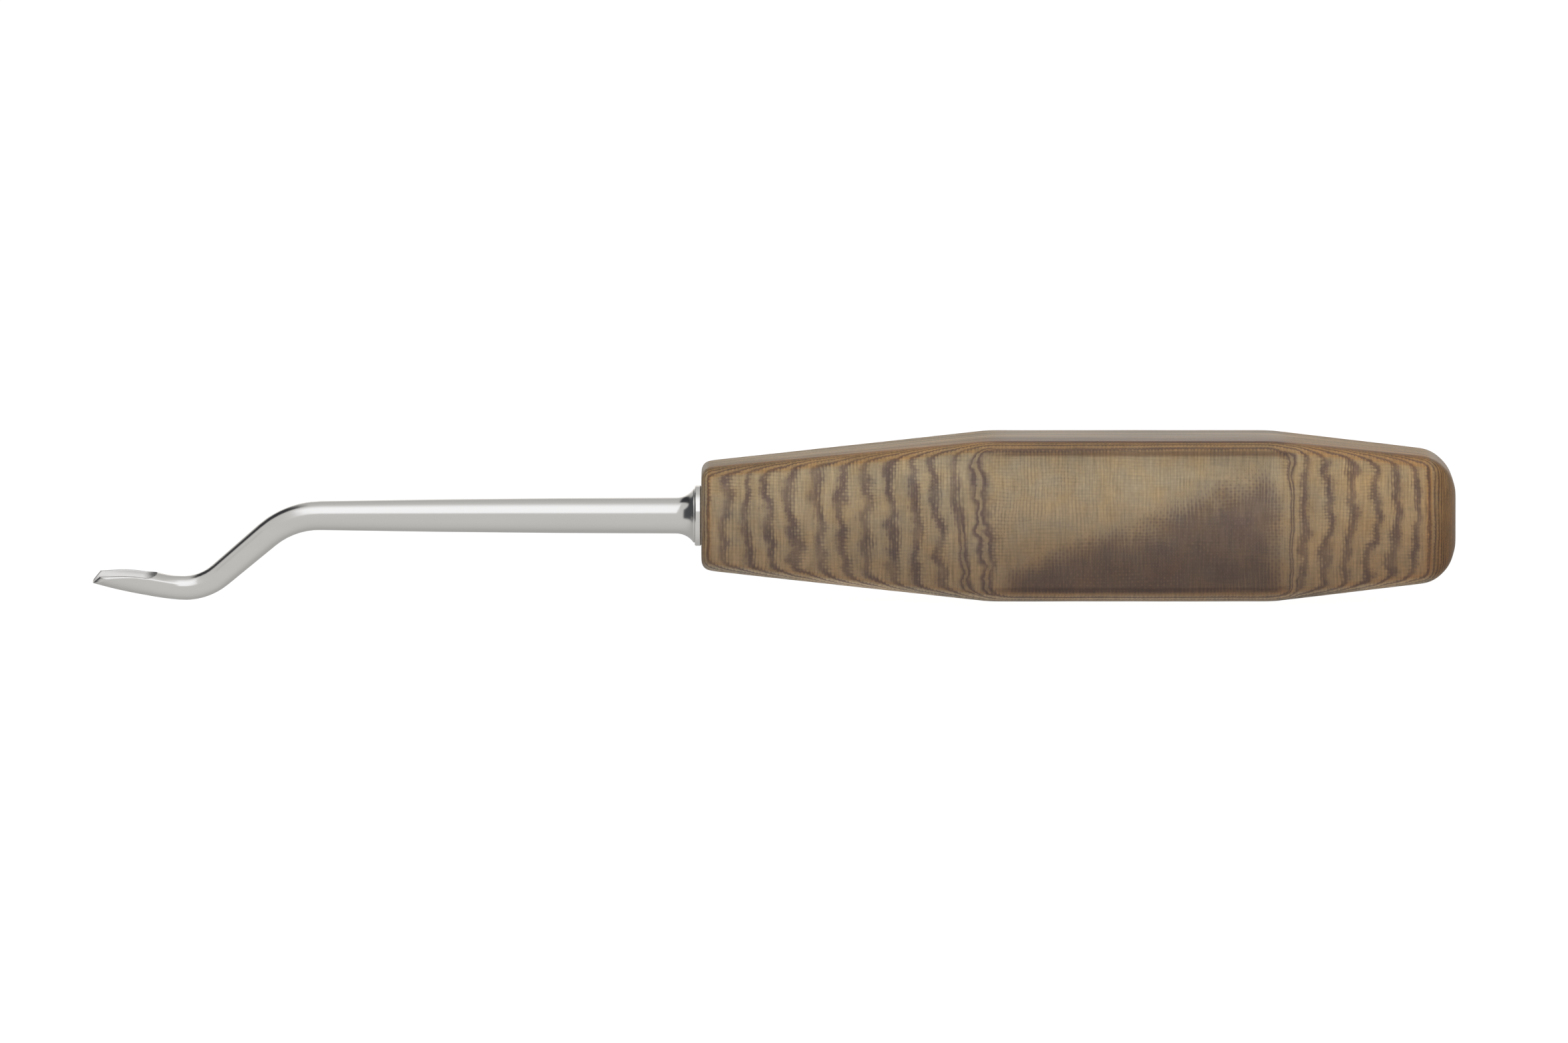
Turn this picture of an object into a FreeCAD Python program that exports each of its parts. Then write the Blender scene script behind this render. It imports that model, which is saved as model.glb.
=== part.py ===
import FreeCAD, Part
import os
import re
import Sketcher
from math import tan

# A bent gouge elevator: a steel gouge blade on a twice-bent shank, set in a laminated handle.
# The design frame has X along the handle's axis, from the handle's nose (X = 0) back to its
# butt (+X). The blade points to -X, and both bends lie in the XZ plane. At the end every piece
# gets the same Placement, which puts the frame's origin at the middle of the tool's footprint,
# level with its lowest point. All sizes are millimetres and degrees.
SIZES = {
    # Handle: a square bar, parallel at the grip and tapered towards both ends
    "handle_length": 93.5,
    "nose_size": 12.8,
    "grip_start": 35.6,
    "grip_end": 70.7,
    "grip_size": 20.0,
    "tail_size": 15.0,
    "break_radius": 16.0,
    "shoulder_run": 2.9,
    "brow_run": 0.75,
    "brow_half": 5.9,
    "butt_half": 3.6,
    "shoulder_radius": 4.0,
    "edge_radius": 1.35,
    "nose_radius": 1.1,
    "butt_radius": 1.2,
    # Blind bore for the tang, with a drill point at its end
    "bore_diameter": 5.0,
    "bore_depth": 53.0,
    "point_depth": 1.5,
    # Ring between the bolster and the handle
    "ring_diameter": 7.5,
    "ring_thickness": 0.8,
    "ring_chamfer": 0.12,
    # Tang: round, with four flats against turning and key grooves against pulling out
    "tang_diameter": 4.4,
    "tang_length": 51.0,
    "tang_chamfer": 0.8,
    "flat_start": 4.0,
    "flat_across": 3.8,
    "key_start": 10.0,
    "key_pitch": 12.0,
    "key_width": 1.2,
    "key_depth": 0.3,
    # Bolster and straight shank, with stations measured forward from the handle's nose
    "bolster_diameter": 6.7,
    "bolster_land": 0.15,
    "flare_start": 3.1,
    "shank_diameter": 4.46,
    "middle_station": 25.8,
    "middle_diameter": 4.2,
    "elbow_station": 47.2,
    "elbow_diameter": 3.6,
    # Bends: the elbow turns the shank down, and the heel turns it back up to the blade
    "elbow_radius": 10.3,
    "elbow_angle": 40.3,
    "slant_length": 7.6,
    "heel_radius": 6.9,
    "heel_angle": 44.7,
    "heel_diameter": 2.96,
    # Blade, with stations measured along its own axis from the end of the heel bend
    "blade_length": 10.83,
    "blade_roll": 10.0,
    "end_radius": 1.85,
    "trough_radius": 1.7,
    "trough_floor": 0.02,
    "trough_centre": 4.6,
    "root_half": 1.245,
    "neck_station": 2.6,
    "neck_half": 1.53,
    "neck_rim": 1.10,
    "neck_crown": 1.62,
    "neck_keel": 1.36,
    "belly_station": 5.8,
    "belly_half": 1.83,
    "belly_rim": 1.27,
    "belly_crown": 2.02,
    "belly_keel": 1.02,
    "cheek_station": 8.5,
    "cheek_half": 1.87,
    "cheek_rim": 0.95,
    "cheek_crown": 1.85,
    "cheek_keel": 0.63,
    "tip_station": 11.2,
    "tip_half": 1.87,
    "tip_rim": 0.6,
    "tip_crown": 1.3,
    "tip_keel": 0.05,
}

# Expressions in the sheet's names. The path is the shank's centre line in the XZ plane.
RISE = "(heel_angle - elbow_angle)"
ELBOW_SIN = "sin(elbow_angle * 1 deg)"
ELBOW_COS = "cos(elbow_angle * 1 deg)"
RISE_SIN = f"sin({RISE} * 1 deg)"
RISE_COS = f"cos({RISE} * 1 deg)"
SLANT_TOP_X = f"(-1 * elbow_station - elbow_radius * {ELBOW_SIN})"
SLANT_TOP_Z = f"(-1 * elbow_radius * (1 - {ELBOW_COS}))"
SLANT_FOOT_X = f"({SLANT_TOP_X} - slant_length * {ELBOW_COS})"
SLANT_FOOT_Z = f"({SLANT_TOP_Z} - slant_length * {ELBOW_SIN})"
HEEL_CENTRE_X = f"({SLANT_FOOT_X} - heel_radius * {ELBOW_SIN})"
HEEL_CENTRE_Z = f"({SLANT_FOOT_Z} + heel_radius * {ELBOW_COS})"
BLADE_X = f"({HEEL_CENTRE_X} - heel_radius * {RISE_SIN})"
BLADE_Z = f"({HEEL_CENTRE_Z} - heel_radius * {RISE_COS})"
ALL_THROUGH = "2 * grip_size"
TOUCHING = 0.01
LEAST_CUT = 1e-4

doc = FreeCAD.newDocument("bent_gouge_elevator")


def add_sheet():
    """The driving dimensions, one row each: the name, and the value under that alias."""
    made = doc.addObject("Spreadsheet::Sheet", "Sizes")
    for row, (name, number) in enumerate(SIZES.items(), start=1):
        made.set(f"A{row}", name)
        made.set(f"B{row}", str(number))
        made.setAlias(f"B{row}", name)
    doc.recompute()
    return made


sheet = add_sheet()


def bound(text):
    """The expression, with every size's name pointing at the sheet."""
    return re.sub(r"[a-z]+(_[a-z]+)+", lambda found: "Sizes." + found.group(), text)


def value(text):
    """What the expression comes to with the sheet's present numbers."""
    return float(sheet.evalExpression(bound(text)))


def bind(thing, place, text):
    thing.setExpression(place, bound(text))


# ------------------------------------------------------------------ bodies and sketches
def add_body(label):
    body = doc.addObject("PartDesign::Body", label)
    body.Label = label
    return body


def origin_feature(body, role):
    return next(feature for feature in body.Origin.OriginFeatures if feature.Role == role)


def add_sketch(body, label, plane, offset=None):
    """A sketch on one of the body's own planes, moved by a placement expression if one is given."""
    sketch = body.newObject("Sketcher::SketchObject", label)
    sketch.AttachmentSupport = [(origin_feature(body, plane), "")]
    sketch.MapMode = "FlatFace"
    if offset is not None:
        bind(sketch, "AttachmentOffset", offset)
    return sketch


def add_feature(body, kind, label, profile=None):
    feature = body.newObject("PartDesign::" + kind, label)
    if profile is not None:
        feature.Profile = profile
        profile.Visibility = False
    return feature


def dimension(sketch, kind, text, *references):
    """A dimension driven by an expression."""
    index = sketch.addConstraint(Sketcher.Constraint(kind, *references, value(text)))
    bind(sketch, f"Constraints[{index}]", text)


def pin(sketch, geometry, end, x, y):
    """Hold one end of a piece of geometry at a place given by two expressions."""
    for kind, text, axis in (("DistanceX", x, -2), ("DistanceY", y, -1)):
        if text == "0":
            sketch.addConstraint(Sketcher.Constraint("PointOnObject", geometry, end, axis))
        else:
            dimension(sketch, kind, text, -1, 1, geometry, end)


def at(x, y):
    return FreeCAD.Vector(value(x), value(y), 0)


def outline(sketch, corners):
    """A closed polygon. A corner is (x, y) or, where an arc rounds it off, (x, y, radius)."""
    points = [at(corner[0], corner[1]) for corner in corners]
    count = len(corners)
    entries, exits, turns = [], [], []
    for index, corner in enumerate(corners):
        before = (points[index] - points[index - 1]).normalize()
        after = (points[(index + 1) % count] - points[index]).normalize()
        turns.append(before.cross(after).z)
        cut = value(corner[2]) * tan(before.getAngle(after) / 2) if len(corner) > 2 else 0
        entries.append(points[index] - before * cut)
        exits.append(points[index] + after * cut)
    lines = []
    for index in range(count):
        segment = Part.LineSegment(exits[index - 1], entries[index])
        lines.append(sketch.addGeometry(segment, False))
    for index, corner in enumerate(corners):
        incoming, outgoing = lines[index], lines[(index + 1) % count]
        if len(corner) == 2:
            sketch.addConstraint(Sketcher.Constraint("Coincident", incoming, 2, outgoing, 1))
            pin(sketch, incoming, 2, corner[0], corner[1])
            continue
        radius = value(corner[2])
        side = 1 if turns[index] > 0 else -1
        along = (points[index] - entries[index]).normalize()
        centre = entries[index] + FreeCAD.Vector(-along.y, along.x, 0) * radius * side
        middle = centre + (points[index] - centre).normalize() * radius
        arc = sketch.addGeometry(Part.Arc(entries[index], middle, exits[index]), False)
        starts_here = 1 if side > 0 else 2
        sketch.addConstraint(Sketcher.Constraint("Tangent", incoming, 2, arc, starts_here))
        sketch.addConstraint(Sketcher.Constraint("Tangent", outgoing, 1, arc, 3 - starts_here))
        dimension(sketch, "Radius", corner[2], arc)
        mark = sketch.addGeometry(Part.Point(points[index]), True)
        pin(sketch, mark, 1, corner[0], corner[1])
        sketch.addConstraint(Sketcher.Constraint("PointOnObject", mark, 1, incoming))
        sketch.addConstraint(Sketcher.Constraint("PointOnObject", mark, 1, outgoing))


def circle(sketch, radius):
    ring = sketch.addGeometry(Part.Circle(at("0", "0"), FreeCAD.Vector(0, 0, 1), value(radius)), False)
    sketch.addConstraint(Sketcher.Constraint("Coincident", ring, 3, -1, 1))
    dimension(sketch, "Radius", radius, ring)


def rectangle(sketch, left, right, low, high):
    outline(sketch, [(left, low), (right, low), (right, high), (left, high)])


def revolve(body, kind, label, sketch):
    """A full turn of the sketch about the body's X axis or, away from it, the sketch's own."""
    feature = add_feature(body, kind, label, sketch)
    feature.ReferenceAxis = (sketch, ["H_Axis"])
    feature.Angle = 360
    return feature


def edges_where(feature, test):
    """The names of the feature's edges whose middle point passes the test."""
    names = []
    for index, edge in enumerate(feature.Shape.Edges, start=1):
        middle = edge.valueAt((edge.FirstParameter + edge.LastParameter) / 2)
        if test(middle):
            names.append(f"Edge{index}")
    return names


def fillet(body, label, radius, test):
    """Round the edges of the body's newest feature that pass the test."""
    doc.recompute()
    base = body.Tip
    feature = add_feature(body, "Fillet", label)
    feature.Base = (base, edges_where(base, test))
    bind(feature, "Radius", radius)
    doc.recompute()
    return feature


def must_cut(body, before, what):
    """A pocket or groove that misses the solid shows no error, so the volume is compared."""
    doc.recompute()
    after = body.Shape.Volume
    if not after < before - LEAST_CUT:
        raise RuntimeError(f"{what} removed nothing")
    return after


# ------------------------------------------------------------------ handle
def bar_outline(sketch):
    """The handle's outline, the same from the side and from above."""
    def half(sign):
        return [
            ("0", f"{sign} nose_size / 2"),
            ("grip_start", f"{sign} grip_size / 2", "break_radius"),
            ("grip_end", f"{sign} grip_size / 2", "break_radius"),
            ("handle_length - shoulder_run", f"{sign} {shoulder}", "shoulder_radius"),
            ("handle_length - brow_run", f"{sign} brow_half", "shoulder_radius"),
            ("handle_length", f"{sign} butt_half"),
        ]
    slope = "(grip_size - tail_size) / (2 * (handle_length - grip_end))"
    shoulder = f"(tail_size / 2 + shoulder_run * {slope})"
    outline(sketch, half("") + half("-1 *")[::-1])


def add_handle():
    body = add_body("handle")
    side = add_sketch(body, "side_outline", "XZ_Plane")
    bar_outline(side)
    blank = add_feature(body, "Pad", "side_blank", side)
    blank.SideType = "Symmetric"
    bind(blank, "Length", "grip_size")
    doc.recompute()
    volume = body.Shape.Volume

    plan = add_sketch(body, "plan_waste", "XY_Plane")
    bar_outline(plan)
    rectangle(plan, "-1 * grip_size", "handle_length + grip_size", "-1 * grip_size", "grip_size")
    waste = add_feature(body, "Pocket", "plan_taper", plan)
    waste.SideType = "Symmetric"
    bind(waste, "Length", ALL_THROUGH)
    must_cut(body, volume, "plan_taper")

    def is_long(middle):
        return abs(abs(middle.y) - abs(middle.z)) < TOUCHING < abs(middle.y)

    fillet(body, "long_edges", "edge_radius", is_long)
    fillet(body, "nose_edge", "nose_radius", lambda middle: abs(middle.x) < TOUCHING)
    length = SIZES["handle_length"]
    fillet(body, "butt_edge", "butt_radius", lambda middle: abs(middle.x - length) < TOUCHING)

    drill = add_sketch(body, "bore_profile", "XZ_Plane")
    outline(drill, [
        ("0", "0"),
        ("0", "bore_diameter / 2"),
        ("bore_depth", "bore_diameter / 2"),
        ("bore_depth + point_depth", "0"),
    ])
    volume = body.Shape.Volume
    revolve(body, "Groove", "bore", drill)
    must_cut(body, volume, "bore")
    return body


# ------------------------------------------------------------------ bolster ring
def add_ring():
    body = add_body("bolster_ring")
    profile = add_sketch(body, "ring_profile", "XZ_Plane")
    outline(profile, [
        ("0", "tang_diameter / 2"),
        ("0", "ring_diameter / 2 - ring_chamfer"),
        ("-1 * ring_chamfer", "ring_diameter / 2"),
        ("-1 * (ring_thickness - ring_chamfer)", "ring_diameter / 2"),
        ("-1 * ring_thickness", "ring_diameter / 2 - ring_chamfer"),
        ("-1 * ring_thickness", "tang_diameter / 2"),
    ])
    revolve(body, "Revolution", "ring", profile)
    return body


# ------------------------------------------------------------------ shank and blade
def add_arc(sketch, start, middle, end):
    return sketch.addGeometry(Part.Arc(start, middle, end), False)


def turned_profile(sketch):
    """Half of the tang, the bolster and the straight shank, from the tang's end to the elbow."""
    corners = [
        ("-1 * elbow_station", "elbow_diameter / 2"),
        ("-1 * elbow_station", "0"),
        ("tang_length", "0"),
        ("tang_length", "tang_diameter / 2 - tang_chamfer"),
        ("tang_length - tang_chamfer", "tang_diameter / 2"),
        ("-1 * ring_thickness", "tang_diameter / 2"),
        ("-1 * ring_thickness", "bolster_diameter / 2"),
        ("-1 * (ring_thickness + bolster_land)", "bolster_diameter / 2"),
    ]
    lines = []
    for start, end in zip(corners, corners[1:]):
        lines.append(sketch.addGeometry(Part.LineSegment(at(*start), at(*end)), False))
    for line, start in zip(lines, corners):
        pin(sketch, line, 1, *start)
    for line, following in zip(lines, lines[1:]):
        sketch.addConstraint(Sketcher.Constraint("Coincident", line, 2, following, 1))
    pin(sketch, lines[-1], 2, *corners[-1])

    # The flare is a hollow arc that leaves the shank in line with it
    run = "(flare_start - ring_thickness - bolster_land)"
    climb = "((bolster_diameter - shank_diameter) / 2)"
    radius = f"({run} ^ 2 + {climb} ^ 2) / (2 * {climb})"
    top = at(*corners[-1])
    foot = at("-1 * flare_start", "shank_diameter / 2")
    centre = foot + FreeCAD.Vector(0, value(radius), 0)
    middle = centre + ((top + foot) * 0.5 - centre).normalize() * value(radius)
    flare = add_arc(sketch, foot, middle, top)
    sketch.addConstraint(Sketcher.Constraint("Coincident", flare, 2, lines[-1], 2))
    pin(sketch, flare, 1, "-1 * flare_start", "shank_diameter / 2")
    dimension(sketch, "Radius", radius, flare)

    # The shank's side is one long arc through its middle diameter
    slim = at(*corners[0])
    belly = at("-1 * middle_station", "middle_diameter / 2")
    barrel = add_arc(sketch, foot, belly, slim)
    sketch.addConstraint(Sketcher.Constraint("Coincident", barrel, 1, flare, 1))
    sketch.addConstraint(Sketcher.Constraint("Coincident", barrel, 2, lines[0], 1))
    mark = sketch.addGeometry(Part.Point(belly), True)
    pin(sketch, mark, 1, "-1 * middle_station", "middle_diameter / 2")
    sketch.addConstraint(Sketcher.Constraint("PointOnObject", mark, 1, barrel))


def cut_tang(body):
    """Four flats along the tang, and three key grooves round it."""
    volume = body.Shape.Volume
    flat = add_sketch(body, "flat_waste", "XZ_Plane")
    rectangle(flat, "flat_start", "tang_length + tang_diameter", "flat_across / 2", "tang_diameter")
    pocket = add_feature(body, "Pocket", "flat", flat)
    pocket.SideType = "Symmetric"
    bind(pocket, "Length", ALL_THROUGH)
    volume = must_cut(body, volume, "flat")
    flats = add_feature(body, "PolarPattern", "flats")
    flats.Originals = [pocket]
    flats.Axis = (origin_feature(body, "X_Axis"), [""])
    flats.Angle = 360
    flats.Occurrences = 4
    body.Tip = flats
    volume = must_cut(body, volume, "flats")

    key = add_sketch(body, "key_waste", "XZ_Plane")
    depth = "tang_diameter / 2 - key_depth"
    rectangle(key, "key_start", "key_start + key_width", depth, "tang_diameter")
    groove = revolve(body, "Groove", "key", key)
    volume = must_cut(body, volume, "key")
    keys = add_feature(body, "LinearPattern", "keys")
    keys.Originals = [groove]
    keys.Direction = (origin_feature(body, "X_Axis"), [""])
    keys.Occurrences = 3
    bind(keys, "Length", "2 * key_pitch")
    body.Tip = keys
    must_cut(body, volume, "keys")


def bend_path(sketch):
    """The centre line through the elbow, down the slant and round the heel."""
    def swept(centre, start, end, side):
        middle = (start + end) * 0.5
        radius = (start - centre).Length
        arc = add_arc(sketch, start, centre + (middle - centre).normalize() * radius, end)
        return arc, (1, 2) if side > 0 else (2, 1)

    elbow_start = at("-1 * elbow_station", "0")
    slant_top = at(SLANT_TOP_X, SLANT_TOP_Z)
    slant_foot = at(SLANT_FOOT_X, SLANT_FOOT_Z)
    blade_start = at(BLADE_X, BLADE_Z)
    elbow_centre = at("-1 * elbow_station", "-1 * elbow_radius")
    heel_centre = at(HEEL_CENTRE_X, HEEL_CENTRE_Z)
    elbow, (first, last) = swept(elbow_centre, elbow_start, slant_top, 1)
    pin(sketch, elbow, 3, "-1 * elbow_station", "-1 * elbow_radius")
    pin(sketch, elbow, first, "-1 * elbow_station", "0")
    dimension(sketch, "DistanceX", SLANT_TOP_X, -1, 1, elbow, last)
    slant = sketch.addGeometry(Part.LineSegment(slant_top, slant_foot), False)
    sketch.addConstraint(Sketcher.Constraint("Coincident", slant, 1, elbow, last))
    pin(sketch, slant, 2, SLANT_FOOT_X, SLANT_FOOT_Z)
    heel, (first, last) = swept(heel_centre, slant_foot, blade_start, -1)
    pin(sketch, heel, 3, HEEL_CENTRE_X, HEEL_CENTRE_Z)
    sketch.addConstraint(Sketcher.Constraint("Coincident", heel, first, slant, 2))
    dimension(sketch, "DistanceX", BLADE_X, -1, 1, heel, last)


def blade_section(body, name, station, half, rim, crown, keel):
    """A section across the blade: a deep arc under the two rims and a shallow one over them."""
    turn = f"rotation(vector(1; 0; 0); {RISE}) * rotation(vector(0; 0; 1); blade_roll)"
    start = f"placement(vector(0; {BLADE_Z}; {BLADE_X}); {turn})"
    slide = f"placement(vector(0; 0; -1 * ({station})); rotation(vector(0; 0; 1); 0))"
    sketch = add_sketch(body, name + "_section", "YZ_Plane", f"{start} * {slide}")
    left = at(f"-1 * {half}", rim)
    right = at(half, rim)
    under = add_arc(sketch, left, at("0", f"-1 * {keel}"), right)
    over = add_arc(sketch, right, at("0", crown), left)
    pin(sketch, under, 1, f"-1 * {half}", rim)
    pin(sketch, under, 2, half, rim)
    sketch.addConstraint(Sketcher.Constraint("Coincident", over, 1, under, 2))
    sketch.addConstraint(Sketcher.Constraint("Coincident", over, 2, under, 1))
    for arc, rise in ((under, f"({rim} + {keel})"), (over, f"({crown} - {rim})")):
        dimension(sketch, "Radius", f"({half} ^ 2 + {rise} ^ 2) / (2 * {rise})", arc)
    return sketch


def add_blade(body):
    heel_half = "(heel_diameter / 2)"
    root_rim = f"sqrt({heel_half} ^ 2 - root_half ^ 2)"
    sections = [blade_section(body, "root", "0", "root_half", root_rim, heel_half, heel_half)]
    for name in ("neck", "belly", "cheek", "tip"):
        names = [f"{name}_{part}" for part in ("station", "half", "rim", "crown", "keel")]
        sections.append(blade_section(body, name, *names))
    loft = add_feature(body, "AdditiveLoft", "blade_hull", sections[0])
    loft.Sections = sections[1:]
    doc.recompute()
    volume = body.Shape.Volume

    # The trough is a round-ended channel, straight from its inner end out through the tip
    turn = f"rotation(vector(0; 0; 1); -1 * {RISE}) * rotation(vector(1; 0; 0); blade_roll)"
    start = f"placement(vector({BLADE_X}; {BLADE_Z}; 0); {turn})"
    lift = "placement(vector(0; trough_floor + trough_radius; 0); rotation(vector(0; 0; 1); 0))"
    trough = add_sketch(body, "trough_profile", "XZ_Plane", f"{start} * {lift}")
    inner_end = at("-1 * (trough_centre - trough_radius)", "0")
    deepest = at("-1 * trough_centre", "-1 * trough_radius")
    beyond_tip = "-1 * (tip_station + trough_radius)"
    outer_low = at(beyond_tip, "-1 * trough_radius")
    outer_high = at(beyond_tip, "0")
    centre = at("-1 * trough_centre", "0")
    middle = centre + ((inner_end + deepest) * 0.5 - centre).normalize() * value("trough_radius")
    nose = add_arc(trough, deepest, middle, inner_end)
    floor = trough.addGeometry(Part.LineSegment(deepest, outer_low), False)
    mouth = trough.addGeometry(Part.LineSegment(outer_low, outer_high), False)
    spine = trough.addGeometry(Part.LineSegment(outer_high, inner_end), False)
    pin(trough, nose, 3, "-1 * trough_centre", "0")
    pin(trough, nose, 1, "-1 * trough_centre", "-1 * trough_radius")
    trough.addConstraint(Sketcher.Constraint("PointOnObject", nose, 2, -1))
    trough.addConstraint(Sketcher.Constraint("Coincident", nose, 1, floor, 1))
    trough.addConstraint(Sketcher.Constraint("Coincident", floor, 2, mouth, 1))
    trough.addConstraint(Sketcher.Constraint("Coincident", mouth, 2, spine, 1))
    trough.addConstraint(Sketcher.Constraint("Coincident", spine, 2, nose, 2))
    pin(trough, floor, 2, beyond_tip, "-1 * trough_radius")
    pin(trough, mouth, 2, beyond_tip, "0")
    revolve(body, "Groove", "trough", trough)
    volume = must_cut(body, volume, "trough")

    # The end is rounded in plan
    turn = f"rotation(vector(0; 1; 0); {RISE}) * rotation(vector(1; 0; 0); blade_roll)"
    plan = add_sketch(body, "end_waste", "XY_Plane", f"placement(vector({BLADE_X}; 0; {BLADE_Z}); {turn})")
    back = "-1 * (blade_length - end_radius)"
    far = "-1 * (tip_station + end_radius)"
    low = at(back, "-1 * end_radius")
    high = at(back, "end_radius")
    end = add_arc(plan, high, at("-1 * blade_length", "0"), low)
    pin(plan, end, 3, back, "0")
    pin(plan, end, 1, back, "end_radius")
    plan.addConstraint(Sketcher.Constraint("Vertical", end, 1, end, 2))
    wide = "(2 * end_radius)"
    frame = [(back, f"-1 * {wide}"), (far, f"-1 * {wide}"), (far, wide), (back, wide)]
    lines = [plan.addGeometry(Part.LineSegment(low, at(*frame[0])), False)]
    for start, stop in zip(frame, frame[1:]):
        lines.append(plan.addGeometry(Part.LineSegment(at(*start), at(*stop)), False))
    lines.append(plan.addGeometry(Part.LineSegment(at(*frame[-1]), high), False))
    for line, corner in zip(lines, frame):
        pin(plan, line, 2, *corner)
    for line, following in zip(lines, lines[1:]):
        plan.addConstraint(Sketcher.Constraint("Coincident", line, 2, following, 1))
    plan.addConstraint(Sketcher.Constraint("Coincident", lines[0], 1, end, 2))
    plan.addConstraint(Sketcher.Constraint("Coincident", lines[-1], 2, end, 1))
    trim = add_feature(body, "Pocket", "rounded_end", plan)
    trim.SideType = "Symmetric"
    bind(trim, "Length", "4 * end_radius")
    must_cut(body, volume, "rounded_end")


def add_blade_shank():
    body = add_body("blade_shank")
    turned = add_sketch(body, "turned_profile", "XZ_Plane")
    turned_profile(turned)
    revolve(body, "Revolution", "tang_and_shank", turned)
    doc.recompute()
    cut_tang(body)

    path = add_sketch(body, "bend_path", "XZ_Plane")
    bend_path(path)
    flat = "rotation(vector(0; 0; 1); 0)"
    first_place = f"placement(vector(0; 0; -1 * elbow_station); {flat})"
    first = add_sketch(body, "elbow_circle", "YZ_Plane", first_place)
    circle(first, "elbow_diameter / 2")
    tilt = f"rotation(vector(1; 0; 0); {RISE})"
    last_place = f"placement(vector(0; {BLADE_Z}; {BLADE_X}); {tilt})"
    last = add_sketch(body, "heel_circle", "YZ_Plane", last_place)
    circle(last, "heel_diameter / 2")
    pipe = add_feature(body, "AdditivePipe", "bends", first)
    pipe.Spine = (path, ["Edge1", "Edge2", "Edge3"])
    pipe.Transformation = "Multisection"
    pipe.Sections = [last]
    doc.recompute()
    add_blade(body)
    return body


# ------------------------------------------------------------------ adhesive
def add_adhesive(shank):
    """What is left of the bore once the tang is in it."""
    barrel = doc.addObject("Part::Cylinder", "bore_barrel")
    bind(barrel, "Radius", "bore_diameter / 2")
    bind(barrel, "Height", "bore_depth")
    point = doc.addObject("Part::Cone", "bore_point")
    bind(point, "Radius1", "bore_diameter / 2")
    point.Radius2 = 0
    bind(point, "Height", "point_depth")
    bind(point, "Placement.Base.z", "bore_depth")
    filling = doc.addObject("Part::Fuse", "bore_filling")
    filling.Base = barrel
    filling.Tool = point
    filling.Placement = FreeCAD.Placement(FreeCAD.Vector(), FreeCAD.Rotation(FreeCAD.Vector(0, 1, 0), 90))
    adhesive = doc.addObject("Part::Cut", "tang_adhesive")
    adhesive.Label = "tang_adhesive"
    adhesive.Base = filling
    adhesive.Tool = shank
    doc.recompute()
    return adhesive, filling


# ------------------------------------------------------------------ assembly
def place_on_origin(pieces, moved):
    """Shift everything so that the origin is the bottom centre of the tool's box."""
    boxes = [piece.Shape.optimalBoundingBox() for piece in pieces]
    whole = boxes[0]
    for box in boxes[1:]:
        whole.add(box)
    middle_x = (whole.XMin + whole.XMax) / 2
    middle_y = (whole.YMin + whole.YMax) / 2
    shift = FreeCAD.Vector(-middle_x, -middle_y, -whole.ZMin)
    for thing in moved:
        thing.Placement = FreeCAD.Placement(thing.Placement.Base + shift, thing.Placement.Rotation)
    doc.recompute()
    print(f"shifted by {shift.x:.4f}, {shift.y:.4f}, {shift.z:.4f}")


def check(pieces):
    for thing in doc.Objects:
        if "Invalid" in thing.State or "Error" in thing.State:
            raise RuntimeError(f"{thing.Label} did not recompute: {thing.State}")
    for piece in pieces:
        shape = piece.Shape
        if shape.isNull() or not shape.isValid() or not shape.Solids:
            raise RuntimeError(f"{piece.Label} is not a valid solid")


def main():
    handle = add_handle()
    ring = add_ring()
    blade_shank = add_blade_shank()
    adhesive, filling = add_adhesive(blade_shank)
    pieces = [handle, blade_shank, ring, adhesive]
    place_on_origin(pieces, [handle, blade_shank, ring, filling])
    check(pieces)
    os.makedirs("parts", exist_ok=True)
    for piece in pieces:
        piece.Shape.exportStep(f"parts/{piece.Label}.step")
        box = piece.Shape.optimalBoundingBox()
        print(f"{piece.Label}: {len(piece.Shape.Solids)} solid, {piece.Shape.Volume:.2f} mm3, "
              f"{box.XLength:.2f} x {box.YLength:.2f} x {box.ZLength:.2f} mm")


main()
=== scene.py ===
"""Looks of the bent gouge elevator: a laminate handle, a satin steel shank and blade, and a polished ring."""

import math

import bpy
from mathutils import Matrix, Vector, noise


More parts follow.
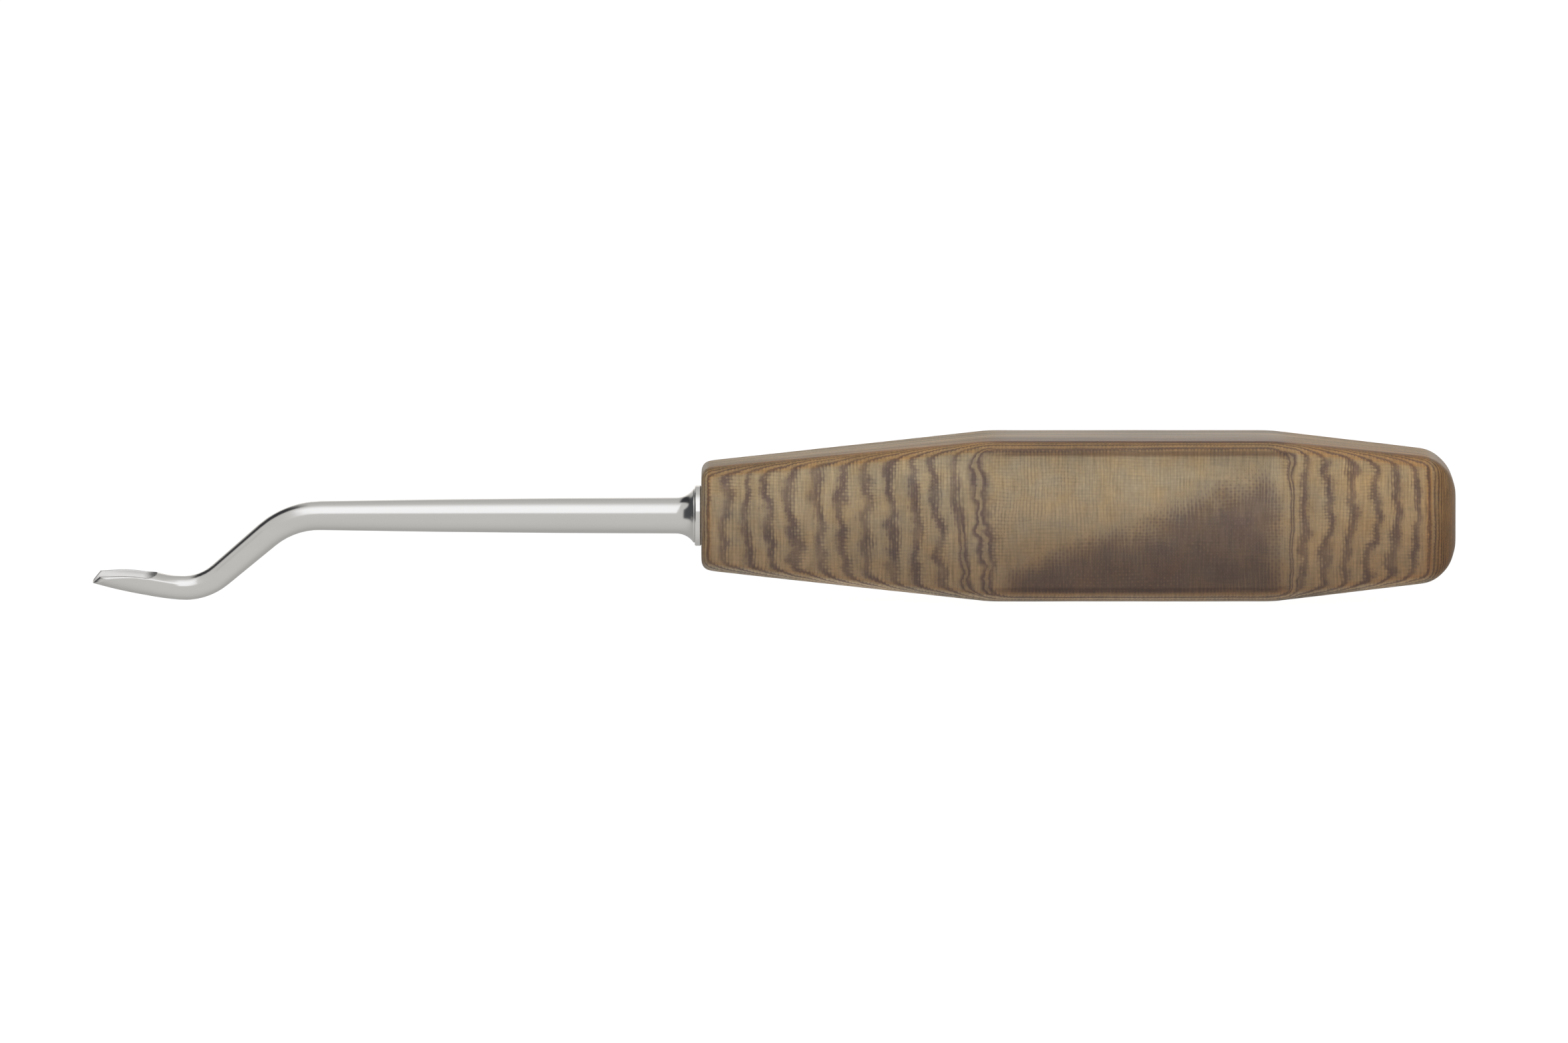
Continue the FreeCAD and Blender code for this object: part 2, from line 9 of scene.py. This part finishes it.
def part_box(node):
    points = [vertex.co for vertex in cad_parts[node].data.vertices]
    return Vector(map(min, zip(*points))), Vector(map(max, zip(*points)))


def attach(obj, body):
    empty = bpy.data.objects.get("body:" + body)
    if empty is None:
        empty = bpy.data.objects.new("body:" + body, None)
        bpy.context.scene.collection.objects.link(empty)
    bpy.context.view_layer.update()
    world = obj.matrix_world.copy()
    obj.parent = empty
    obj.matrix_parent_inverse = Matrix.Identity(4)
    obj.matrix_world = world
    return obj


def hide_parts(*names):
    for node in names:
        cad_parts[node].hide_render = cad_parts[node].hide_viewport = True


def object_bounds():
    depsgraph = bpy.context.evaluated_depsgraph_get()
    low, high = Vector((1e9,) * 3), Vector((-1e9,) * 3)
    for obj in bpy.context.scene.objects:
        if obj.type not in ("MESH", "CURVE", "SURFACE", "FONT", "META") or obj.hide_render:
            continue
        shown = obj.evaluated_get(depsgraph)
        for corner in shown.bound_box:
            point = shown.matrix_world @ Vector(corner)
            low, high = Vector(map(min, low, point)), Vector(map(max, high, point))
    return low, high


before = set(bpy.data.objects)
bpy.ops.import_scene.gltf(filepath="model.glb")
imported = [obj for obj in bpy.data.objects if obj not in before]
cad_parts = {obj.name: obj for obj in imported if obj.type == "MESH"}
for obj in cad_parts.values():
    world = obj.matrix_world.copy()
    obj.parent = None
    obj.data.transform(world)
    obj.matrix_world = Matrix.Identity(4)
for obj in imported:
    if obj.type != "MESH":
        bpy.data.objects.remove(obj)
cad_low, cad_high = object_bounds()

MM = 0.001

# The view: a long lens in front of the tool, a little above it.
VIEW_WIDTH = 194.45 * MM
VIEW_ELEVATION = math.radians(4.73)
VIEW_DISTANCE = 3.0
VIEW_TARGET = Vector((1.25, 0.0, 9.75)) * MM
SENSOR = 36.0

STAGE_RADIUS = 4.3

# The laminate, in millimetres.
PLY_PITCH = 0.29
YARN_PITCH = 0.43
YARN_RELIEF = 0.050  # how far a yarn lifts the seam behind it
FIRST_PLY = 0.180  # what is left of the first ply on the front face
PLY_LEAN = 0.075  # how much less is left at the butt end of the grip
PATCH_FRONT = 0.198  # how much more is sanded off the lower part of the grip, in front
PATCH_FRONT_END = 0.33  # the same, where the butt taper starts
PATCH_BACK = -0.115  # the same on the back, where the plies run the other way
PATCH_SLOPE = 0.30  # how steeply the edge of that part climbs towards the butt

TAN = (0.368, 0.274, 0.156, 1.0)
RESIN = (0.142, 0.089, 0.066, 1.0)

# Tints, which multiply the laminate's colour.
# Painted shade: the handle is darker towards the bottom.
PAINTED_SHADE_LOW = (0.45, 0.35, 0.275, 1.0)
BURNISHED = (0.95, 0.76, 0.52, 1.0)
TOP_RIM = (0.70, 0.54, 0.44, 1.0)
SEAM = (0.60, 0.48, 0.40, 1.0)
UNDER_EDGE = (0.78, 0.76, 0.74, 1.0)
# Painted sheen: the top is paler.
PAINTED_SHEEN_TAPER = (1.32, 1.33, 1.34, 1.0)
PAINTED_SHEEN_GRIP = (1.06, 1.04, 1.02, 1.0)
# A painted reflection of the white floor: the underside is paler and greyer.
PAINTED_FLOOR_REFLECTION = (1.35, 1.60, 2.00, 1.0)
TOWARDS_BUTT = (1.01, 0.92, 0.79, 1.0)
END_GRAIN = (0.64, 0.51, 0.34, 1.0)

# The sanded mesh of the handle. The unevenness is in millimetres.
VOXEL = 0.3 * MM
EASING_STEPS = 26
UNEVENNESS = 0.03

# How much rougher the trough of the blade is than the polished steel.
GROUND_ROUGHNESS = 0.30

# The light, by direction.
SOFT_BOX = (1.24, 1.25, 1.27, 1.0)
ROOM = (0.70, 0.69, 0.675, 1.0)
ROOM_BEHIND = (0.54, 0.535, 0.52, 1.0)
ROOM_BELOW = (0.47, 0.465, 0.455, 1.0)
ROOM_RIGHT = (0.40, 0.38, 0.35, 1.0)
HORIZON = (1.00, 0.97, 0.93, 1.0)  # a bright strip low behind the tool
DARK_SIDE = (0.075, 0.078, 0.085, 1.0)  # on the far left
FLAG = (0.04, 0.04, 0.045, 1.0)  # a black card above and behind, to the left


class Graph:
    """A node tree with short calls. A value given to a call is a socket, a number or a tuple."""

    def __init__(self, tree):
        self.tree = tree
        tree.nodes.clear()

    def node(self, kind, inputs=None, **settings):
        made = self.tree.nodes.new(kind)
        for name, value in settings.items():
            setattr(made, name, value)
        for name, value in (inputs or {}).items():
            self.feed(made.inputs[name], value)
        return made

    def feed(self, socket, value):
        if isinstance(value, bpy.types.NodeSocket):
            self.tree.links.new(value, socket)
        else:
            socket.default_value = value

    def math(self, operation, a, b=0.0, c=0.0, clamp=False):
        made = self.node("ShaderNodeMath", operation=operation, use_clamp=clamp)
        for socket, value in zip(made.inputs, (a, b, c)):
            self.feed(socket, value)
        return made.outputs[0]

    def add(self, a, b):
        return self.math("ADD", a, b)

    def subtract(self, a, b):
        return self.math("SUBTRACT", a, b)

    def multiply(self, *factors):
        product, *rest = factors
        for factor in rest:
            product = self.math("MULTIPLY", product, factor)
        return product

    def scaled(self, value, factor, offset, clamp=False):
        """value times factor, plus offset."""
        return self.math("MULTIPLY_ADD", value, factor, offset, clamp)

    def absolute(self, value):
        return self.math("ABSOLUTE", value)

    def ramp(self, value, low, high, to_low=0.0, to_high=1.0):
        """A smooth step of value from low to high."""
        made = self.node("ShaderNodeMapRange", interpolation_type="SMOOTHSTEP")
        for name, v in (
            ("Value", value), ("From Min", low), ("From Max", high), ("To Min", to_low), ("To Max", to_high)
        ):
            self.feed(made.inputs[name], v)
        return made.outputs["Result"]

    def band(self, value, low, high, end_low, end_high):
        """One between high and end_low, falling smoothly to zero at low and at end_high."""
        return self.multiply(self.ramp(value, low, high), self.ramp(value, end_low, end_high, 1.0, 0.0))

    def mix(self, factor, a, b, blend="MIX"):
        made = self.node("ShaderNodeMix", data_type="RGBA", blend_type=blend)
        self.feed(made.inputs["Factor"], factor)
        self.feed(made.inputs["A"], a)
        self.feed(made.inputs["B"], b)
        return made.outputs["Result"]

    def tinted(self, factor, color, tint):
        """color, multiplied by tint as far as factor says."""
        return self.mix(factor, color, self.mix(1.0, color, tint, "MULTIPLY"))

    def noise(self, vector, scale=1.0, detail=2.0, roughness=0.5):
        """Noise centred on zero, about -1 to 1."""
        made = self.node(
            "ShaderNodeTexNoise",
            {"Vector": vector, "Scale": scale, "Detail": detail, "Roughness": roughness},
            noise_dimensions="3D",
        )
        return self.scaled(made.outputs["Fac"], 2.0, -1.0)

    def stretch(self, vector, factors, offset=(0.0, 0.0, 0.0)):
        made = self.node("ShaderNodeVectorMath", {"Vector": vector}, operation="MULTIPLY_ADD")
        made.inputs[1].default_value = factors
        made.inputs[2].default_value = offset
        return made.outputs["Vector"]

    def position(self):
        """The point on the object in millimetres, which is the frame's own position."""
        return self.stretch(self.node("ShaderNodeTexCoord").outputs["Object"], (1000.0,) * 3)

    def normal(self):
        return self.split(self.node("ShaderNodeNewGeometry").outputs["Normal"])

    def split(self, vector):
        made = self.node("ShaderNodeSeparateXYZ", {"Vector": vector})
        return made.outputs["X"], made.outputs["Y"], made.outputs["Z"]


def material(name):
    made = bpy.data.materials.new(name)
    made.use_nodes = True
    return made, Graph(made.node_tree)


def finish_surface(graph, shader):
    graph.node("ShaderNodeOutputMaterial", {"Surface": shader.outputs[0]})


class Place:
    """Where a point of the handle is, in millimetres, and the parts of the handle as masks from 0 to 1."""

    def __init__(self, g, grip_low, grip_high):
        (_, self.face_y, low_z), (_, _, self.high_z) = [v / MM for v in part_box("handle")]
        self.half_wide = -self.face_y
        self.middle_z = (low_z + self.high_z) / 2
        self.grip_low = grip_low
        self.grip_high = grip_high
        self.point = g.position()
        self.x, self.y, self.z = g.split(self.point)
        self.near_front = g.ramp(self.y, -6.0, -2.0, 1.0, 0.0)
        self.near_back = g.ramp(self.y, 2.0, 6.0)
        self.sides = g.add(self.near_front, self.near_back)
        self.past_nose = g.ramp(self.x, grip_low - 2.1, grip_low + 3.4)
        self.grip = g.multiply(self.past_nose, g.ramp(self.x, grip_high + 0.4, grip_high + 3.4, 1.0, 0.0))
        self.flat = g.multiply(self.grip, self.sides)


def woven(g, place):
    """The cloth: yarns up and down in front, yarns along the handle behind them, neither quite straight."""
    point = place.point
    drift_x = g.multiply(g.noise(g.stretch(point, (0.25, 0.6, 0.16), (2.0, 9.0, 4.0))), 0.55)
    drift_z = g.multiply(g.noise(g.stretch(point, (0.16, 0.6, 0.25), (8.0, 1.0, 6.0))), 0.55)
    ply = g.math("FLOOR", g.multiply(g.add(place.y, 0.5), 1.0 / PLY_PITCH))
    shift = g.multiply(g.math("FRACT", g.multiply(ply, 0.618)), math.tau)
    turns = math.pi / YARN_PITCH
    across = g.math("SINE", g.scaled(g.add(place.x, drift_x), turns, shift))
    along = g.math("SINE", g.scaled(g.add(place.z, drift_z), turns, shift))
    # A rectified sine is 0.64 on average.
    upright = g.subtract(g.absolute(across), 0.64)
    level = g.subtract(g.absolute(along), 0.64)
    patchy = g.ramp(g.noise(g.stretch(point, (0.20, 0.5, 0.20), (1.0, 5.0, 3.0))), -0.30, 0.30)
    weave = g.add(g.multiply(upright, g.scaled(patchy, 0.5, 0.5)), g.multiply(across, along, 0.20))
    return g.add(weave, g.multiply(level, g.scaled(patchy, -0.5, 0.6)))


def resin_seams(g, place, weave):
    """How much resin shows, from how deep a point is in the plies, bent by the press, the cloth and the sanding."""
    point, x, y, grip_low, grip_high = place.point, place.x, place.y, place.grip_low, place.grip_high
    slow = g.multiply(g.noise(g.stretch(point, (0.05, 0.05, 0.07)), detail=1.0), 0.22)
    wavy = g.multiply(g.noise(g.stretch(point, (0.30, 0.50, 0.34), (7.0, 3.0, 1.0)), detail=3.0), 0.17)
    bent = g.multiply(g.add(slow, wavy), g.scaled(place.flat, -0.80, 1.0))

    # The lower part of each grip face, more of it towards the butt in front, is sanded into the next seam.
    facing = g.subtract(place.near_front, place.near_back)
    from_centre = g.subtract(x, (grip_low + grip_high) / 2)
    below = g.subtract(g.multiply(from_centre, PATCH_SLOPE, facing), g.subtract(place.z, place.middle_z))
    length = g.multiply(place.past_nose, g.ramp(x, grip_high + 1.6, grip_high + 3.3, 1.0, 0.0))
    sanded = g.multiply(g.ramp(below, -5.3, 5.1), g.multiply(length, place.sides))
    removed = g.multiply(place.near_front, g.ramp(x, grip_high - 0.5, grip_high + 2.5, PATCH_FRONT, PATCH_FRONT_END))
    removed = g.scaled(place.near_back, PATCH_BACK, removed)
    lean = g.multiply(g.ramp(x, grip_low, grip_high), g.scaled(sanded, -PLY_LEAN, PLY_LEAN))

    # The outermost seam is a smooth double line around the grip.
    outer = g.ramp(g.absolute(y), place.half_wide - 0.42, place.half_wide - 0.34)
    outer = g.multiply(outer, g.ramp(place.grip, 0.3, 0.6, 1.0, 0.0))
    relief = g.scaled(outer, 0.84 * YARN_RELIEF, -YARN_RELIEF)
    depth = g.add(g.subtract(y, place.face_y - FIRST_PLY), g.scaled(weave, relief, bent))
    depth = g.subtract(depth, g.scaled(sanded, removed, lean))
    from_middle = g.subtract(g.math("FRACT", g.multiply(depth, 1.0 / PLY_PITCH)), 0.5)
    from_middle = g.multiply(g.absolute(from_middle), 2.0)

    strength = g.noise(g.stretch(point, (0.22, 1.5, 0.30), (4.0, 4.0, 9.0)))
    strength = g.scaled(strength, g.scaled(place.flat, -0.45, 0.70), 0.90, clamp=True)
    core = g.scaled(g.multiply(g.ramp(from_middle, 0.70, 0.92), outer), -0.8, 1.0)
    resin = g.multiply(g.ramp(from_middle, 0.29, 0.95), strength)
    return g.multiply(g.add(resin, g.multiply(g.ramp(from_middle, 0.1, 0.6), g.multiply(outer, 0.4))), core)


def laminate(grip_low, grip_high):
    """Cotton cloth in resin. The plies lie across Y, so every taper and rounded edge cuts them into contour lines."""
    made, g = material("laminate_fabric")
    place = Place(g, grip_low, grip_high)
    point, x, y, z, grip, flat = place.point, place.x, place.y, place.z, place.grip, place.flat
    weave = woven(g, place)
    resin = resin_seams(g, place, weave)

    # The yarns' own shades, and on the sides cut through the plies, the shades of the plies.
    normal_x, normal_y, normal_z = g.normal()
    tilt = g.absolute(normal_z)
    streak_z = g.noise(g.stretch(point, (4.2, 1.2, 0.30), (3.0, 3.0, 3.0)))
    streak_x = g.noise(g.stretch(point, (0.30, 1.2, 4.2)))
    blotch = g.noise(g.stretch(point, (0.10, 0.2, 0.14), (5.0, 1.0, 8.0)), detail=3.0)
    shade = g.add(g.multiply(streak_z, 0.42), g.multiply(streak_x, 0.20))
    shade = g.add(g.scaled(blotch, 0.30, shade), g.multiply(weave, 0.18))
    edgewise = g.noise(g.stretch(point, (0.035, 0.85, 0.12), (3.0, 7.0, 1.0)), detail=3.0)
    shade = g.scaled(g.multiply(edgewise, g.ramp(tilt, 0.30, 0.90)), 0.9, shade)
    warm = g.multiply(g.noise(g.stretch(point, (0.35, 0.8, 0.35), (6.0, 2.0, 2.0))), 0.55)
    cloth = g.node("ShaderNodeCombineColor")
    for name, cast in (("Red", 0.25), ("Green", 0.0), ("Blue", -0.45)):
        g.feed(cloth.inputs[name], g.scaled(warm, cast, g.add(shade, 1.0)))
    color = g.mix(1.0, g.mix(resin, TAN, RESIN), cloth.outputs[0], "MULTIPLY")

    # Painted shade darkens the lower side, and the sanded upper corners burnish.
    low_shade = g.ramp(g.subtract(z, place.middle_z), 8.0, -9.0)
    color = g.tinted(g.multiply(low_shade, g.scaled(flat, 0.18, 0.82)), color, PAINTED_SHADE_LOW)
    side = g.absolute(normal_y)
    long_edge = g.multiply(g.ramp(g.absolute(normal_x), 0.35, 0.45, 1.0, 0.0), g.ramp(normal_z, -0.5, 0.0))
    color = g.tinted(g.multiply(g.band(side, 0.05, 0.14, 0.96, 0.998), long_edge), color, BURNISHED)

    # The top darkens to its edges. Dark lines run along the grip's edges, and its faces are darker under them.
    top_face = g.ramp(normal_z, 0.90, 0.99)
    rim = g.add(g.ramp(y, 2.0, -8.5), g.ramp(y, 2.0, 8.5, 0.0, 0.3))
    color = g.tinted(g.multiply(top_face, rim, g.scaled(grip, 0.25, 0.75)), color, TOP_RIM)
    top_line = g.multiply(g.band(side, 0.05, 0.14, 0.32, 0.60), g.scaled(grip, 0.85, 0.15))
    low_line = g.multiply(g.band(tilt, 0.015, 0.06, 0.12, 0.28), grip)
    color = g.tinted(g.multiply(g.add(top_line, low_line), long_edge), color, SEAM)
    shaded = g.multiply(g.ramp(z, place.high_z - 4.6, place.high_z - 1.4), flat)
    color = g.tinted(shaded, color, UNDER_EDGE)

    # Painted sheen makes the top paler, and a painted reflection of the white floor makes the underside paler and
    # greyer.
    grip_top = g.multiply(top_face, grip)
    taper_top = g.subtract(top_face, grip_top)
    color = g.tinted(taper_top, color, PAINTED_SHEEN_TAPER)
    color = g.tinted(grip_top, color, PAINTED_SHEEN_GRIP)
    color = g.tinted(g.ramp(normal_z, -0.20, -0.70), color, PAINTED_FLOOR_REFLECTION)

    # Darker and browner towards the butt, and on the cut ends, most of all on the end that faces the butt.
    color = g.tinted(g.ramp(x, grip_high - 3.5, grip_high + 12.0), color, TOWARDS_BUTT)
    end = g.multiply(g.ramp(g.absolute(normal_x), 0.20, 0.70), g.ramp(normal_x, -0.2, 0.2, 0.10, 1.0))
    color = g.tinted(end, color, END_GRAIN)

    rough = g.scaled(resin, -0.10, g.scaled(streak_z, 0.10, 0.46))
    rough = g.scaled(taper_top, 0.13, rough)
    relief = g.scaled(streak_z, 0.4, g.multiply(weave, 0.6))
    bump = g.node("ShaderNodeBump", {"Height": relief, "Strength": 0.4, "Distance": 0.015 * MM})
    shader = g.node(
        "ShaderNodeBsdfPrincipled",
        {"Base Color": color, "Roughness": rough, "Normal": bump.outputs["Normal"], "IOR": 1.55},
    )
    finish_surface(g, shader)
    return made


def steel(name, base, roughness, marks, eased_edge):
    """Ground and polished steel with faint marks along the tool."""
    made, g = material(name)
    point = g.position()
    fine = g.noise(g.stretch(point, (0.16, 9.0, 9.0)), detail=3.0, roughness=0.6)
    broad = g.noise(g.stretch(point, (0.05, 0.5, 0.5), (4.0, 2.0, 6.0)), detail=3.0)
    tone = g.scaled(broad, 0.5, 0.5, clamp=True)
    color = g.mix(tone, tuple(c * 0.93 for c in base) + (1.0,), tuple(base) + (1.0,))
    rough = g.scaled(g.add(g.multiply(fine, 0.6), g.multiply(broad, 0.5)), marks, roughness)

    # The trough is left as ground. Its walls lean inwards, and its end faces the tip.
    x, y, _ = g.split(point)
    normal_x, normal_y, _ = g.normal()
    end_wall = g.band(g.subtract(x, cad_low.x / MM), 2.5, 3.5, 9.0, 10.0)
    end_wall = g.multiply(end_wall, g.ramp(normal_x, -0.06, -0.24))
    ground = g.math("MAXIMUM", end_wall, g.ramp(g.multiply(y, normal_y), -0.02, -0.12))
    rough = g.scaled(ground, GROUND_ROUGHNESS, rough)

    eased = g.node("ShaderNodeBevel", {"Radius": eased_edge}, samples=8)
    bump = g.node(
        "ShaderNodeBump",
        {"Height": fine, "Strength": 0.25, "Distance": 0.0015 * MM, "Normal": eased.outputs["Normal"]},
    )
    shader = g.node(
        "ShaderNodeBsdfPrincipled",
        {"Base Color": color, "Metallic": 1.0, "Roughness": rough, "Normal": bump.outputs["Normal"]},
    )
    finish_surface(g, shader)
    return made


def adhesive():
    """Cured epoxy, amber and a little cloudy."""
    made, g = material("cured_adhesive")
    tone = g.scaled(g.noise(g.position(), 0.8), 0.5, 0.5, clamp=True)
    color = g.mix(tone, (0.30, 0.17, 0.06, 1.0), (0.42, 0.27, 0.12, 1.0))
    shader = g.node("ShaderNodeBsdfPrincipled", {"Base Color": color, "Roughness": 0.25})
    finish_surface(g, shader)
    return made


def sanded_handle():
    """The CAD handle on an even mesh, its corners eased and its faces a little uneven, as hand sanding leaves them."""
    blank = bpy.data.objects.new("blank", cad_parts["handle"].data.copy())
    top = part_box("handle")[1].z
    level = [v.co.x for v in blank.data.vertices if v.co.z > top - 0.02 * MM]
    bpy.context.scene.collection.objects.link(blank)
    remesh = blank.modifiers.new("even", "REMESH")
    remesh.mode = "VOXEL"
    remesh.voxel_size = VOXEL
    ease = blank.modifiers.new("ease", "SMOOTH")
    ease.factor = 0.5
    ease.iterations = EASING_STEPS
    evaluated = blank.evaluated_get(bpy.context.evaluated_depsgraph_get())
    mesh = bpy.data.meshes.new_from_object(evaluated)
    bpy.data.objects.remove(blank)
    normals = [Vector(v.normal) for v in mesh.vertices]
    for vertex, normal in zip(mesh.vertices, normals):
        wave = noise.noise(vertex.co / (7.0 * MM)) + 0.4 * noise.noise(vertex.co / (2.6 * MM))
        vertex.co -= normal * (0.5 + 0.5 * wave) * UNEVENNESS * MM
    mesh.shade_smooth()
    mesh.materials.clear()
    mesh.materials.append(laminate(min(level) / MM, max(level) / MM))
    made = bpy.data.objects.new("handle_sanded", mesh)
    bpy.context.scene.collection.objects.link(made)
    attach(made, "root")
    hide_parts("handle")


def paint_nodes():
    finishes = {
        "blade_shank": steel("satin_tool_steel", (0.745, 0.737, 0.725), 0.17, 0.06, 0.24 * MM),
        "bolster_ring": steel("polished_ring_steel", (0.80, 0.79, 0.775), 0.12, 0.04, 0.08 * MM),
        "tang_adhesive": adhesive(),
    }
    for name, finish in finishes.items():
        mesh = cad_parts[name].data
        mesh.materials.clear()
        mesh.materials.append(finish)


def camera():
    data = bpy.data.cameras.new("view")
    data.sensor_width = SENSOR
    data.lens = SENSOR * VIEW_DISTANCE / VIEW_WIDTH
    data.clip_start = 0.05
    data.clip_end = 12.0
    made = bpy.data.objects.new("view", data)
    back = Vector((0.0, -math.cos(VIEW_ELEVATION), math.sin(VIEW_ELEVATION)))
    made.location = VIEW_TARGET + back * VIEW_DISTANCE
    made.rotation_mode = "QUATERNION"
    made.rotation_quaternion = (-back).to_track_quat("-Z", "Y")
    bpy.context.scene.collection.objects.link(made)
    bpy.context.scene.camera = made


def studio():
    """A big soft light above and in front, a warm grey room below and behind, and a dark side on the left."""
    world = bpy.data.worlds.new("studio")
    bpy.context.scene.world = world
    world.use_nodes = True
    g = Graph(world.node_tree)
    x, y, z = g.split(g.node("ShaderNodeTexCoord").outputs["Generated"])
    # Degrees around the tool's long axis, up from the front.
    lift = g.multiply(g.math("ARCTAN2", z, g.multiply(y, -1.0)), 180.0 / math.pi)

    color = g.mix(g.ramp(y, -0.2, 0.9), ROOM, ROOM_BEHIND)
    color = g.mix(g.multiply(g.ramp(lift, -30.0, -170.0), g.ramp(z, 0.0, -0.12)), color, ROOM_BELOW)
    color = g.mix(g.ramp(x, 0.50, 0.95), color, ROOM_RIGHT)
    color = g.mix(g.multiply(g.ramp(y, 0.80, 0.97), g.ramp(z, -0.06, 0.06)), color, HORIZON)
    sill = g.scaled(g.ramp(x, -0.10, -0.50), 80.0, 18.0)
    soft_box = g.band(lift, sill, g.add(sill, 5.0), 60.0, 98.0)
    color = g.mix(g.multiply(soft_box, g.ramp(x, 0.55, 0.90, 1.0, 0.2)), color, SOFT_BOX)
    dark_side = g.multiply(g.ramp(x, -0.58, -0.72), g.band(z, -0.28, -0.12, 0.50, 0.60))
    color = g.mix(dark_side, color, DARK_SIDE)
    flag = g.multiply(g.ramp(x, -0.15, -0.33), g.ramp(y, 0.02, 0.20), g.ramp(z, 0.42, 0.58))
    color = g.mix(flag, color, FLAG)
    background = g.node("ShaderNodeBackground", {"Color": color, "Strength": 1.0})
    g.node("ShaderNodeOutputWorld", {"Surface": background.outputs[0]})


def glow(g, strength):
    return g.node("ShaderNodeEmission", {"Color": (1.0, 1.0, 1.0, 1.0), "Strength": strength})


def stage():
    """A white floor and a white surround, kept out of the reflections."""
    floor_material, g = material("white_floor")
    diffuse = g.node("ShaderNodeBsdfDiffuse", {"Color": (0.12, 0.12, 0.12, 1.0)})
    both = g.node("ShaderNodeAddShader")
    g.feed(both.inputs[0], diffuse.outputs[0])
    g.feed(both.inputs[1], glow(g, 0.98).outputs[0])
    finish_surface(g, both)
    bpy.ops.mesh.primitive_circle_add(vertices=96, radius=STAGE_RADIUS, fill_type="NGON", location=(0, 0, cad_low.z))
    floor = bpy.context.object
    floor.name = "floor"
    floor.data.materials.append(floor_material)

    surround_material, g = material("white_surround")
    finish_surface(g, glow(g, 1.2))
    bpy.ops.mesh.primitive_uv_sphere_add(segments=64, ring_count=32, radius=STAGE_RADIUS, location=(0, 0, 0))
    surround = bpy.context.object
    surround.name = "surround"
    surround.data.materials.append(surround_material)
    surround.visible_diffuse = False
    for made in (floor, surround):
        made.visible_glossy = False
        made.visible_transmission = False
        made.visible_shadow = False


sanded_handle()
paint_nodes()
camera()
studio()
stage()
bpy.context.scene.view_settings.view_transform = "Standard"
